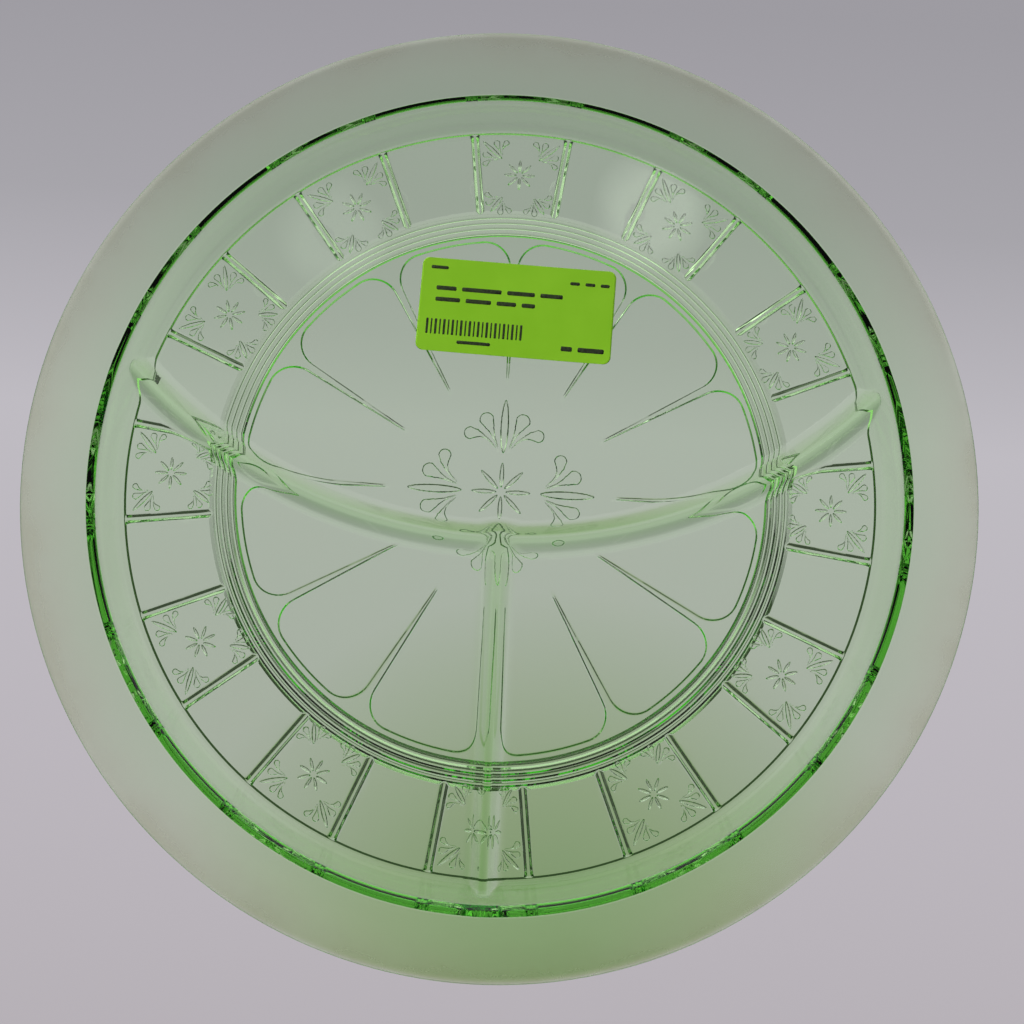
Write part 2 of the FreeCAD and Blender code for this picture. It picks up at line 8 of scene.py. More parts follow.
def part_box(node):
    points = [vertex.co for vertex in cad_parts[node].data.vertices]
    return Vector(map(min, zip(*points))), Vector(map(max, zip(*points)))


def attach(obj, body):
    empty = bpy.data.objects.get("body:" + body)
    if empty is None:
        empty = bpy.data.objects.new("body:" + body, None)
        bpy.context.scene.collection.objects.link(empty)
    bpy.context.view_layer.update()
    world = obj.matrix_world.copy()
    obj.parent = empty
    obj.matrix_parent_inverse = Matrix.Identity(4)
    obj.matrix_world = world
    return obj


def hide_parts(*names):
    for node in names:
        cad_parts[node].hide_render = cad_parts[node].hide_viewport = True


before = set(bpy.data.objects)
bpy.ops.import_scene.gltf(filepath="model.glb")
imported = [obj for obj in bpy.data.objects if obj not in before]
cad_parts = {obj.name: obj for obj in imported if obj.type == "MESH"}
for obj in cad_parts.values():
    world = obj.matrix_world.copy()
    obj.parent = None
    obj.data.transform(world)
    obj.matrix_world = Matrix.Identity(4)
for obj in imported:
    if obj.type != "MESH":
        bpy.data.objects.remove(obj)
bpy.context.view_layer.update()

# A divided dish of pressed uranium glass, and the paper price label on it.
# The CAD solids are the right size and stay as the fixed frame. Both are
# replaced here by detailed pieces: the glass with its whole moulded pattern,
# and the paper with its print.
#
# Lengths are millimetres until a mesh is made. Angles round the dish are
# measured from +X, anticlockwise from above.

MM = 0.001

dish_low, dish_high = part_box("pressed_glass_dish")
label_low, label_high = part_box("price_label")
RIM = (dish_high.x - dish_low.x) / 2 / MM
TOP = dish_high.z / MM
FLOOR = label_low.z / MM

# ---------------------------------------------------------------------------
# Sizes of the glass
# ---------------------------------------------------------------------------
# Underside of the well, of the border panels, and of the step down at their outer end.
BASE = 1.3
PANEL_HEIGHT = 1.5
CREASE_HEIGHT = 0.4
CREASE_RADIUS = 99.3
CREASE_HALF = 0.4
CREASE_BENDS = (0.12, 0.2)

# Outside of the wall: (radius, height, bend), up to the root of the rim.
ROOT_RADIUS = 107.0
ROOT_HEIGHT = 9.0
ROOT_BEND = 0.7
HEEL = ((102.0, 0.8, 1.5), (104.2, 2.5, 2.3), (106.1, 6.4, 8.0))

# Rim and inside of the wall.
RIM_EDGE_BEND = 1.7
RIM_SLOPE = math.radians(16.2)
SHOULDER_RADIUS = 103.4
SHOULDER_BEND = 2.5
WALL_SLOPE = math.radians(62)
WALL_FOOT_BEND = 1.8

# The four foot rings, and the low band that they stand on.
RING_COUNT = 4
RING_RADIUS = 71.3
RING_PITCH = 1.5
RING_WIDTH = 1.4
RING_FOOT = 0.4
RING_BASE = 0.6
RING_BENDS = (0.03, 0.16)
BAND_LIP = 0.04
BAND_INNER_SLOPE = 0.7
BAND_OUTER_SLOPE = 0.8
BAND_BENDS = (0.12, 0.08)

# The petals of the well, and the spokes left between them.
PETALS = 12
WELL_RECESS = 0.6
WELL_RADIUS = 68.5
SPOKE_START = 29.0
SPOKE_FULL = 33.0
SPOKE_POINT = 0.1
SPOKE_HALF = 1.0
PETAL_CORNER = 7.5
PETAL_EDGE = 0.42

# The ribs between the border panels.
RIBS = 24
RIB_TURN = math.radians(7.5)
RIB_START = 76.6
RIB_HALF = 1.2
RIB_CREST = 0.3
RIB_BOTTOM = 0.5
RIB_FILLET = 0.25
RIB_FLARE = 0.25
RIB_FLARE_LENGTH = 1.5
RIB_FADES = (0.4, 0.3)

# The dividers: one long and curved, one short and straight.
DIVIDER_RADIUS = 136.0
DIVIDER_APEX = 12.9
DIVIDER_HEIGHT = 4.8
DIVIDER_HALF = 5.6
DIVIDER_CREST = 1.5
DIVIDER_FILLET = 3.0
DIVIDER_JOINT = 4.0
DIVIDER_TURN = math.radians(0.8)
DIVIDER_FADE = (100.8, 103.8)

# How far the flowers stand out of the well, and of the panels in proportion.
MOTIF_RELIEF = 0.54
PANEL_RELIEF = 0.9 * MOTIF_RELIEF


# ---------------------------------------------------------------------------
# The turned section, as straight runs and the arcs between them
# ---------------------------------------------------------------------------
LONGEST_RUN = 6.0
SHORTEST_RUN = 1e-3


def ring_corners():
    """The foot: a low band, and the rings on it, from the inside out."""
    inner = RING_RADIUS - RING_WIDTH / 2
    outer = RING_RADIUS + (RING_COUNT - 1) * RING_PITCH + RING_WIDTH / 2
    top_bend, lip_bend = BAND_BENDS
    root_bend, foot_bend = RING_BENDS
    corners = [(inner - BAND_INNER_SLOPE, BASE, top_bend), (inner - BAND_LIP, RING_BASE, lip_bend)]
    for ring in range(RING_COUNT):
        middle = RING_RADIUS + ring * RING_PITCH
        corners.append((middle - RING_WIDTH / 2, RING_BASE, root_bend))
        corners.append((middle - RING_FOOT / 2, 0.0, foot_bend))
        corners.append((middle + RING_FOOT / 2, 0.0, foot_bend))
        corners.append((middle + RING_WIDTH / 2, RING_BASE, root_bend))
    corners.append((outer + BAND_LIP, RING_BASE, lip_bend))
    corners.append((outer + BAND_OUTER_SLOPE, PANEL_HEIGHT, top_bend))
    return corners


def rim_top_at(radius):
    """Height of the sloping top of the rim, which runs into its rounded edge."""
    rise = RIM_EDGE_BEND * (math.cos(RIM_SLOPE) + math.sin(RIM_SLOPE) * math.tan(RIM_SLOPE))
    across = radius - (RIM - RIM_EDGE_BEND)
    return TOP - RIM_EDGE_BEND + rise + across * math.tan(RIM_SLOPE)


def rim_corners():
    """Two corners whose arcs make the rounded edge of the rim."""
    across = RIM - RIM_EDGE_BEND - ROOT_RADIUS
    up = TOP - RIM_EDGE_BEND - ROOT_HEIGHT
    slope = math.atan2(up, across) - math.asin(RIM_EDGE_BEND / math.hypot(across, up))
    low = ROOT_HEIGHT + (RIM - ROOT_RADIUS) * math.tan(slope)
    # A hair smaller, so that rounding can't make the two arcs overlap.
    bend = RIM_EDGE_BEND * 0.9999
    return [(RIM, low, bend), (RIM, rim_top_at(RIM), bend)]


def section_corners():
    """The closed half section, from the axis underneath round to the axis on top."""
    under = [(0.0, BASE, 0.0), *ring_corners()]
    crease = [(CREASE_RADIUS - CREASE_HALF, PANEL_HEIGHT, CREASE_BENDS[0]),
              (CREASE_RADIUS + CREASE_HALF, CREASE_HEIGHT, CREASE_BENDS[1])]
    wall = [*HEEL, (ROOT_RADIUS, ROOT_HEIGHT, ROOT_BEND)]
    shoulder = rim_top_at(SHOULDER_RADIUS)
    edge = SHOULDER_RADIUS - (shoulder - FLOOR) / math.tan(WALL_SLOPE)
    inside = [(SHOULDER_RADIUS, shoulder, SHOULDER_BEND), (edge, FLOOR, WALL_FOOT_BEND),
              (0.0, FLOOR, 0.0)]
    return under + crease + wall + rim_corners() + inside


def build_pieces(corners):
    """Turn the corners into runs and arcs, each one base row of the mesh.

    A run is (0, x, y, 0, dx, dy), and an arc is (1, middle x, middle y, bend, first, turn).
    """
    points = [np.array(corner[:2]) for corner in corners]
    pieces = []
    start = points[0]
    for index in range(1, len(points)):
        here = points[index]
        bend = corners[index][2]
        arc = None
        end = here
        after = here
        if bend > 0:
            back = points[index - 1] - here
            ahead = points[index + 1] - here
            back = back / np.linalg.norm(back)
            ahead = ahead / np.linalg.norm(ahead)
            half = math.acos(float(np.clip(back @ ahead, -1, 1))) / 2
            reach = bend / math.tan(half)
            end = here + back * reach
            after = here + ahead * reach
            split = back + ahead
            middle = here + split / np.linalg.norm(split) * bend / math.sin(half)
            first = math.atan2(*(end - middle)[::-1])
            turn = math.atan2(*(after - middle)[::-1]) - first
            turn = (turn + math.pi) % (2 * math.pi) - math.pi
            arc = (1, middle[0], middle[1], bend, first, turn)
        run = end - start
        length = np.linalg.norm(run)
        if length > SHORTEST_RUN:
            steps = max(1, math.ceil(length / LONGEST_RUN))
            for step in range(steps):
                a = start + run * step / steps
                pieces.append((0, a[0], a[1], 0.0, run[0] / steps, run[1] / steps))
        if arc:
            pieces.append(arc)
        start = after
    return np.array(pieces)


PIECES = build_pieces(section_corners())

# The lattice: rows t run along the section, from the axis underneath round the rim to
# the axis on top, and columns a run round the dish.
STEP = 64
T_END = len(PIECES) * STEP
SECTORS = 24
TURN_STEP = 256
A_END = SECTORS * TURN_STEP


def section_point(t):
    """Radius and height of the bare section at lattice rows t."""
    row = np.clip((t / STEP).astype(int), 0, len(PIECES) - 1)
    s = t / STEP - row
    kind, p0, p1, p2, p3, p4 = PIECES[row].T
    angle = p3 + p4 * s
    radius = np.where(kind == 0, p0 + p3 * s, p0 + p2 * np.cos(angle))
    height = np.where(kind == 0, p1 + p4 * s, p1 + p2 * np.sin(angle))
    return np.maximum(radius, 0.0), height


def find_rim_row():
    """The row in the middle of the rim's edge: under it is the underside."""
    rows = np.arange(T_END + 1, dtype=float)
    radius, _ = section_point(rows)
    return float(rows[np.argmax(radius)])


RIM_ROW = find_rim_row()


# ---------------------------------------------------------------------------
# Small tools for shapes in plan
# ---------------------------------------------------------------------------
def ease(x, low, high):
    """0 below low, 1 above high, and smooth between."""
    u = np.clip((x - low) / (high - low), 0.0, 1.0)
    return u * u * (3.0 - 2.0 * u)


def soft_min(a, b, width):
    """The lower of two fields, with a fillet where they meet."""
    h = np.maximum(width - np.abs(a - b), 0.0) / width
    return np.minimum(a, b) - h * h * width / 4.0


def fold(angle, count, offset=0.0):
    """Signed angle to the nearest of count directions."""
    pitch = 2 * math.pi / count
    return (angle - offset + pitch / 2) % pitch - pitch / 2


def stroke(x, y, points):
    """Distance outside a tapered stroke; points are (x, y, half width)."""
    nearest = np.full_like(x, 1e3)
    for (x0, y0, w0), (x1, y1, w1) in zip(points, points[1:]):
        dx = x1 - x0
        dy = y1 - y0
        along = np.clip(((x - x0) * dx + (y - y0) * dy) / (dx * dx + dy * dy), 0.0, 1.0)
        away = np.hypot(x - x0 - along * dx, y - y0 - along * dy)
        nearest = np.minimum(nearest, away - (w0 + (w1 - w0) * along))
    return nearest


def bent(start, middle, end, widths, count=5):
    """A stroke along a bent line, with its half width running through widths."""
    points = []
    for step in range(count + 1):
        s = step / count
        x = (1 - s) ** 2 * start[0] + 2 * s * (1 - s) * middle[0] + s * s * end[0]
        y = (1 - s) ** 2 * start[1] + 2 * s * (1 - s) * middle[1] + s * s * end[1]
        width = np.interp(s, np.linspace(0, 1, len(widths)), widths)
        points.append((x, y, float(width)))
    return points


def flank(inside, width):
    """Height 0 to 1 of a moulded edge, from the distance inside its outline."""
    rise = np.clip(inside / width, 0.0, 1.0)
    return 0.6 * rise + 0.4 * rise * rise * (3.0 - 2.0 * rise)


def lens(x, y, first, last, half, edge):
    """Height 0 to 1 of a leaf with pointed ends, lying along +Y."""
    s = np.clip((y - first) / (last - first), 0.0, 1.0)
    wide = half * np.sqrt(np.clip(4.0 * s * (1.0 - s), 0.0, 1.0))
    return flank(wide - np.abs(x), edge)


# ---------------------------------------------------------------------------
# The moulded pattern underneath: height by which it stands below the ground
# ---------------------------------------------------------------------------
def petals(radius, angle):
    """1 inside the twelve petals of the well, 0 on the ground round them."""
    slant = np.abs(fold(angle, PETALS))
    along = radius * np.cos(slant)
    across = radius * np.sin(slant)
    end = math.sqrt((WELL_RADIUS - PETAL_CORNER) ** 2 - (SPOKE_HALF + PETAL_CORNER) ** 2)
    half = SPOKE_POINT + (along - SPOKE_START) * (SPOKE_HALF - SPOKE_POINT) / (end - SPOKE_START)
    side = across - half
    outer = WELL_RADIUS - radius
    u = PETAL_CORNER - side
    v = PETAL_CORNER - outer
    corner = PETAL_CORNER - np.hypot(np.maximum(u, 0.0), np.maximum(v, 0.0))
    inside = np.where((u > 0) & (v > 0), corner, np.minimum(side, outer))
    faded = 1.0 - ease(radius, SPOKE_START, SPOKE_FULL)
    return np.maximum(ease(inside, -PETAL_EDGE, PETAL_EDGE), faded)


def ribs(radius, angle, ground):
    """Height of the ribs between the border panels, above the ground."""
    away = np.abs(radius * np.sin(fold(angle, RIBS, RIB_TURN)))
    flare = 1.0 + RIB_FLARE * ease(radius, CREASE_RADIUS - RIB_FLARE_LENGTH, CREASE_RADIUS)
    slope = (PANEL_HEIGHT - RIB_BOTTOM) / (RIB_HALF - RIB_CREST)
    side = RIB_BOTTOM + np.maximum(away / flare - RIB_CREST, 0.0) * slope
    height = ground - soft_min(side, ground, RIB_FILLET)
    inner_fade, outer_fade = RIB_FADES
    inner = ease(radius, RIB_START - inner_fade, RIB_START + inner_fade)
    outer = 1.0 - ease(radius, CREASE_RADIUS - outer_fade, CREASE_RADIUS + outer_fade)
    return height * inner * outer


# The flower in the middle. Rays and leaves are (start, end, half width, width of the
# edge). The curls are strokes beside a leaf that lies along +Y.
RAYS = 8
CENTRE_RAY = (1.2, 7.8, 0.66, 0.36)
LEAVES = 4
LEAF_START = 10.4
CENTRE_LEAF = (LEAF_START, 24.8, 1.15, 0.42)
LEAF_CURLS = (
    bent((1.5, 11.7), (3.0, 15.6), (4.8, 19.2), (0.15, 0.5, 2.0)),
    bent((2.2, 11.9), (5.2, 15.8), (9.0, 15.4), (0.15, 0.4, 1.75)),
)
CURL_EDGE = 0.3
CURL_SHARE = 0.85
FLOWER_REACH = 26.0


def centre_motif(radius, angle):
    """Eight rays, and four leaves with two curls on each side."""
    ray_turn = np.abs(fold(angle, RAYS))
    rays = lens(radius * np.sin(ray_turn), radius * np.cos(ray_turn), *CENTRE_RAY)
    leaf_turn = np.abs(fold(angle, LEAVES))
    x = radius * np.sin(leaf_turn)
    y = radius * np.cos(leaf_turn)
    height = np.maximum(rays, lens(x, y, *CENTRE_LEAF))
    for points in LEAF_CURLS:
        height = np.maximum(height, CURL_SHARE * flank(-stroke(x, y, points), CURL_EDGE))
    return height


def turned(x, y, direction):
    """The same points in coordinates with +Y along the given direction."""
    ux = math.cos(direction)
    uy = math.sin(direction)
    return x * uy - y * ux, x * ux + y * uy


# A panel's flower: the radius of its middle, its rays as above, and its leaves as
# (direction, start, end, size of the curls).
PANEL_MIDDLE = 87.5
PANEL_RAY = (0.8, 4.2, 0.46, 0.3)
PANEL_LEAVES = (
    (math.radians(41), 6.7, 13.9, 0.46),
    (math.radians(-56), 7.6, 13.0, 0.42),
)
PANEL_LEAF_HALF = 0.62
PANEL_LEAF_EDGE = 0.32
PANEL_CURL_EDGE = 0.22
PANEL_CURL_SHARE = 0.8


def panel_motif(radius, angle):
    """A small flower with leaves into its corners, in every second border panel."""
    turn = fold(angle, PETALS)
    x = np.abs(radius * np.sin(turn))
    y = radius * np.cos(turn) - PANEL_MIDDLE
    ray_turn = np.abs(fold(np.arctan2(y, x), RAYS))
    away = np.hypot(x, y)
    height = lens(away * np.sin(ray_turn), away * np.cos(ray_turn), *PANEL_RAY)
    for direction, first, last, size in PANEL_LEAVES:
        lx, ly = turned(x, y, direction)
        leaf = lens(lx, ly, first, last, PANEL_LEAF_HALF, PANEL_LEAF_EDGE)
        height = np.maximum(height, leaf)
        wide = np.abs(lx) / size
        long = (ly - first) / size + LEAF_START
        for points in LEAF_CURLS:
            curl = flank(-stroke(wide, long, points) * size, PANEL_CURL_EDGE)
            height = np.maximum(height, PANEL_CURL_SHARE * curl)
    return height


def under_relief(radius, height, angle):
    """How far the pattern stands out of the bare section, underneath."""
    relief = np.zeros_like(radius)

    # Each part of the pattern is worked out a little beyond its own edge.
    well = radius < WELL_RADIUS + 1.5
    r = radius[well]
    a = angle[well]
    lift = -WELL_RECESS * petals(r, a)
    flower = r < FLOWER_REACH
    lift[flower] += MOTIF_RELIEF * centre_motif(r[flower], a[flower])
    relief[well] = lift

    border = (radius > RIB_START - 0.6) & (radius < CREASE_RADIUS + 1.2)
    r = radius[border]
    a = angle[border]
    lift = ribs(r, a, height[border])
    lift = np.maximum(lift, PANEL_RELIEF * panel_motif(r, a))
    relief[border] = lift
    return relief


# ---------------------------------------------------------------------------
# The dividers on top
# ---------------------------------------------------------------------------
def divider_profile(away):
    """Height of a divider above the floor, at a distance from its middle.

    A round crest, a straight side that leans, and a round fillet at the foot.
    """
    crest_level = DIVIDER_HEIGHT - DIVIDER_CREST
    rise = DIVIDER_FILLET - crest_level
    span = math.hypot(DIVIDER_HALF, rise)
    lean = math.asin((DIVIDER_CREST + DIVIDER_FILLET) / span) - math.atan2(rise, DIVIDER_HALF)
    crest_end = DIVIDER_CREST * math.sin(lean)
    fillet_start = DIVIDER_HALF - DIVIDER_FILLET * math.sin(lean)
    crest = crest_level + np.sqrt(np.maximum(DIVIDER_CREST ** 2 - away ** 2, 0.0))
    top = crest_level + DIVIDER_CREST * math.cos(lean)
    side = top - (away - crest_end) * math.tan(lean)
    hollow = np.minimum(away - DIVIDER_HALF, 0.0)
    foot = DIVIDER_FILLET - np.sqrt(np.maximum(DIVIDER_FILLET ** 2 - hollow ** 2, 0.0))
    return np.where(away < crest_end, crest, np.where(away < fillet_start, side, foot))


def divider_height(x, y):
    """Height of both dividers above the floor, joined by fillets in plan."""
    c = math.cos(DIVIDER_TURN)
    s = math.sin(DIVIDER_TURN)
    u = x * c + y * s
    v = y * c - x * s
    curved = np.abs(np.hypot(u, v - (DIVIDER_RADIUS - DIVIDER_APEX)) - DIVIDER_RADIUS)
    straight = np.hypot(u, np.maximum(v + DIVIDER_APEX, 0.0))
    away = np.maximum(soft_min(curved, straight, DIVIDER_JOINT), 0.0)
    return divider_profile(away)


# Power mean by which a divider and the wall run together: higher is sharper.
BLEND_POWER = 5
NOTHING = 1e-6


def over_relief(radius, height, angle):
    """How far the dividers lift the top face."""
    x = radius * np.cos(angle)
    y = radius * np.sin(angle)
    ridge = divider_height(x, y) * (1.0 - ease(radius, *DIVIDER_FADE))
    above = np.maximum(height - FLOOR, 0.0)
    joined = (above ** BLEND_POWER + ridge ** BLEND_POWER + 1e-12) ** (1 / BLEND_POWER)
    return np.where(ridge > NOTHING, joined - above, 0.0)


# Where the pressed surface is even: at the axis, at the edge of the rim, and on the feet.
CALM_AXIS = (1.0, 6.0)
CALM_EDGE = (116.0, 119.0)
CALM_FEET = (0.05, 0.5)
SWELL = 0.006
PHASE_UNDER = 0.7
PHASE_OVER = 2.9


def swell(x, y, phase):
    """The gentle unevenness of hand-pressed glass, about 0.01 mm."""
    wave = np.sin(x / 5.3 + y / 9.1 + phase) + np.sin(x / 8.7 - y / 4.9 + 2.1 * phase)
    wave += np.sin(x / 3.4 + y / 13.0 + 3.7 * phase) * np.sin(y / 6.1 - phase)
    return SWELL * wave


def surface(t, a):
    """Points of the glass at lattice rows t and lattice angles a."""
    radius, height = section_point(t)
    angle = a * (2 * math.pi / A_END)
    under = t < RIM_ROW
    z = height.copy()
    if under.any():
        z[under] -= under_relief(radius[under], height[under], angle[under])
    if not under.all():
        over = ~under
        z[over] += over_relief(radius[over], height[over], angle[over])
    x = radius * np.cos(angle)
    y = radius * np.sin(angle)
    share = ease(radius, *CALM_AXIS) * (1.0 - ease(radius, *CALM_EDGE))
    feet = np.where(under, ease(z, *CALM_FEET), 1.0)
    z += share * feet * swell(x, y, np.where(under, PHASE_UNDER, PHASE_OVER))
    return np.stack([x, y, z], axis=1)


# ---------------------------------------------------------------------------
# The mesh: cells of the lattice are split until they follow the surface
# ---------------------------------------------------------------------------
TOLERANCE = 0.02
# A cell no longer than this is left whole.
SHORTEST_CELL = 0.34
# A cell longer than LONG_CELL is also cut when it is too slender. The limits are (times
# longer than wide, least width counted), for cells that lie round the dish and for cells
# along its section. The latter are left when they are narrower than NARROW_CELL.
LONG_CELL = 1.5
SHAPE_ROUND = (24, 0.12)
SHAPE_ALONG = (10, 0.3)
NARROW_CELL = 0.2
SAMPLES = 5
CELLS_AT_ONCE = 20000


def chord_errors(cells):
    """Which cells are to be cut along t, and which along the angle.

    A cell is cut where it strays from the surface, or where its shape is too long.
    """
    share = np.linspace(0, 1, SAMPLES)
    t0, t1, a0, a1 = (column[:, None, None] for column in cells.T.astype(float))
    t = t0 + (t1 - t0) * share[None, :, None] + 0 * share[None, None, :]
    a = a0 + (a1 - a0) * share[None, None, :] + 0 * share[None, :, None]
    points = surface(t.ravel(), a.ravel()).reshape(len(cells), SAMPLES, SAMPLES, 3)
    weight = share[None, :, None, None]
    chord = points[:, :1] * (1 - weight) + points[:, -1:] * weight
    off_t = np.linalg.norm(points - chord, axis=3).max((1, 2))
    weight = share[None, None, :, None]
    chord = points[:, :, :1] * (1 - weight) + points[:, :, -1:] * weight
    off_a = np.linalg.norm(points - chord, axis=3).max((1, 2))
    long_t = np.linalg.norm(points[:, -1] - points[:, 0], axis=2).max(1)
    long_a = np.linalg.norm(points[:, :, -1] - points[:, :, 0], axis=2).max(1)
    split_t = (off_t > TOLERANCE) & (long_t > SHORTEST_CELL) & (cells[:, 1] - cells[:, 0] > 1)
    split_a = (off_a > TOLERANCE) & (long_a > SHORTEST_CELL) & (cells[:, 3] - cells[:, 2] > 1)
    times, least = SHAPE_ROUND
    split_a |= (long_a > times * np.maximum(long_t, least)) & (long_a > LONG_CELL)
    times, least = SHAPE_ALONG
    slim = long_t > times * np.maximum(long_a, least)
    split_t |= slim & (long_t > LONG_CELL) & (long_a > NARROW_CELL)
    return split_t, split_a


def halve(cells, column, flag, carried):
    """Cut the flagged cells in two across one direction of the lattice."""
    first = cells[flag].copy()
    second = first.copy()
    middle = (first[:, column] + first[:, column + 1]) // 2
    first[:, column + 1] = middle
    second[:, column] = middle
    cells = np.concatenate([cells[~flag], first, second])
    return cells, np.concatenate([carried[~flag], carried[flag], carried[flag]])


def refine():
    """Split the lattice cells until they follow the surface."""
    rows, sectors = np.meshgrid(np.arange(len(PIECES)), np.arange(SECTORS), indexing="ij")
    cells = np.stack([rows.ravel() * STEP, (rows.ravel() + 1) * STEP,
                      sectors.ravel() * TURN_STEP, (sectors.ravel() + 1) * TURN_STEP], axis=1)
    done = []
    while len(cells):
        parts = np.array_split(cells, max(1, len(cells) // CELLS_AT_ONCE))
        flags = [chord_errors(part) for part in parts]
        split_t = np.concatenate([flag[0] for flag in flags])
        split_a = np.concatenate([flag[1] for flag in flags])
        done.append(cells[~split_t & ~split_a])
        again = split_t | split_a
        cells, split_a = halve(cells[again], 0, split_t[again], split_a[again])
        cells, _ = halve(cells, 2, split_a, split_a)
    return np.concatenate(done)


def vertex_key(t, a):
    """One number for each lattice point: the angle wraps, and each pole is one point."""
    a = np.where((t == 0) | (t == T_END), 0, a % A_END)
    return t * A_END + a


def between(lines, starts, ends, table, stride):
    """For each edge, the sorted lattice points strictly inside it."""
    low = np.searchsorted(table, lines * stride + starts, side="right")
    high = np.searchsorted(table, lines * stride + ends, side="left")
    return low, high


def build_faces(cells):
    """Quads and triangles of the cells, which share every vertex on their edges.

    A cell with extra vertices on its edges, and one at a pole, is a fan of triangles round
    its middle. The middles have negative numbers: -1 for the first, and so on down.
    """
    t = cells[:, [0, 0, 1, 1]].ravel()
    a = cells[:, [2, 3, 3, 2]].ravel()
    spread = A_END + 1
    corners = np.unique(t * spread + a)
    t = corners // spread
    a = corners % spread
    t = np.concatenate([t, t[a == 0], t[a == A_END]])
    last = np.full((a == 0).sum(), A_END)
    first = np.zeros((a == A_END).sum(), a.dtype)
    a = np.concatenate([a, last, first])
    tall = T_END + 1
    along_a = np.unique(t * spread + a)
    along_t = np.unique(a * tall + t)

    t0, t1, a0, a1 = cells.T
    low_row = between(t0, a0, a1, along_a, spread)
    high_row = between(t1, a0, a1, along_a, spread)
    right = between(a1, t0, t1, along_t, tall)
    left = between(a0, t0, t1, along_t, tall)
    extra = sum(high - low for low, high in (low_row, high_row, right, left))

    faces = []
    middles = []
    plain = (extra == 0) & (t0 != 0) & (t1 != T_END)
    quads = np.stack([vertex_key(t0, a0), vertex_key(t0, a1),
                      vertex_key(t1, a1), vertex_key(t1, a0)], axis=1)[plain]
    for i in np.flatnonzero(~plain):
        loop = [(t0[i], a0[i])]
        loop += [(t0[i], v % spread) for v in along_a[low_row[0][i]:low_row[1][i]]]
        loop += [(t0[i], a1[i])]
        loop += [(v % tall, a1[i]) for v in along_t[right[0][i]:right[1][i]]]
        loop += [(t1[i], a1[i])]
        loop += [(t1[i], v % spread) for v in along_a[high_row[0][i]:high_row[1][i]][::-1]]
        loop += [(t1[i], a0[i])]
        loop += [(v % tall, a0[i]) for v in along_t[left[0][i]:left[1][i]][::-1]]
        keys = vertex_key(*np.array(loop, dtype=np.int64).T)
        keys = keys[keys != np.roll(keys, 1)]
        if len(keys) == 3:
            faces.append(tuple(keys))
            continue
        middles.append(((t0[i] + t1[i]) / 2, (a0[i] + a1[i]) / 2))
        middle = -len(middles)
        for here, after in zip(keys, np.roll(keys, -1)):
            faces.append((middle, here, after))
    return quads, np.array(faces, dtype=np.int64), np.array(middles)


# How far to each side the normals look: in rows, and in millimetres round the dish.
LOOK_ROWS = 0.25
LOOK_ROUND = 0.03


def surface_normals(t, a):
    """Outward normals, from the surface a little to each side."""
    radius, _ = section_point(t)
    small_t = np.where((t < 1) | (t > T_END - 1), 0.0, LOOK_ROWS)
    turn = LOOK_ROUND / np.maximum(radius, 0.5)
    small_a = np.clip(turn * A_END / (2 * math.pi), 0.02, 40.0)
    along_t = surface(np.minimum(t + small_t, T_END), a) - surface(np.maximum(t - small_t, 0), a)
    along_a = surface(t, a + small_a) - surface(t, a - small_a)
    normals = np.cross(along_a, along_t)
    length = np.linalg.norm(normals, axis=1)
    flat = length < 1e-12
    normals[flat] = np.where((t[flat] < RIM_ROW)[:, None], (0.0, 0.0, -1.0), (0.0, 0.0, 1.0))
    length[flat] = 1.0
    return normals / length[:, None]


def mesh_from(name, points, faces, normals=None):
    """A mesh object in metres from millimetre points and lists of equal faces."""
    mesh = bpy.data.meshes.new(name)
    mesh.vertices.add(len(points))
    mesh.vertices.foreach_set("co", (np.asarray(points) * MM).astype(np.float32).ravel())
    loops = np.concatenate([block.ravel() for block in faces])
    sizes = np.concatenate([np.full(len(block), block.shape[1]) for block in faces])
    mesh.loops.add(len(loops))
    mesh.loops.foreach_set("vertex_index", loops.astype(np.int32))
    mesh.polygons.add(len(sizes))
    starts = np.concatenate([[0], np.cumsum(sizes)[:-1]])
    mesh.polygons.foreach_set("loop_start", starts.astype(np.int32))
    mesh.polygons.foreach_set("use_smooth", np.ones(len(sizes), bool))
    mesh.update(calc_edges=True)
    mesh.validate()
    if normals is not None:
        mesh.normals_split_custom_set_from_vertices(normals.tolist())
    thing = bpy.data.objects.new(name, mesh)
    bpy.context.scene.collection.objects.link(thing)
    return thing


def make_glass():
    """The dish as one closed mesh."""
    cells = refine()
    quads, triangles, middles = build_faces(cells)
    keys = np.unique(np.concatenate([quads.ravel(), triangles[triangles >= 0]]))
    t = np.concatenate([keys // A_END, middles[:, 0]]).astype(float)
    a = np.concatenate([keys % A_END, middles[:, 1]]).astype(float)
    count = len(keys)

    def vertex(index):
        return np.where(index < 0, count - 1 - index, np.searchsorted(keys, index))

    points = surface(t, a)
    normals = surface_normals(t, a)
    return mesh_from("dish_glass", points, [vertex(quads), vertex(triangles)], normals)


# ---------------------------------------------------------------------------
# The label: a sheet of paper on the floor of the large compartment
# ---------------------------------------------------------------------------
LABEL_LENGTH = 52.0
LABEL_WIDTH = 25.5
LABEL_CORNER = 2.0
LABEL_PAPER = 0.11
LABEL_GAP = 0.046
LABEL_TURN = math.radians(-1.4)
LABEL_MIDDLE = (label_low + label_high) / 2 / MM
LABEL_GRID = (105, 61)
LABEL_RIPPLE = 0.014
LABEL_CURL = 0.3


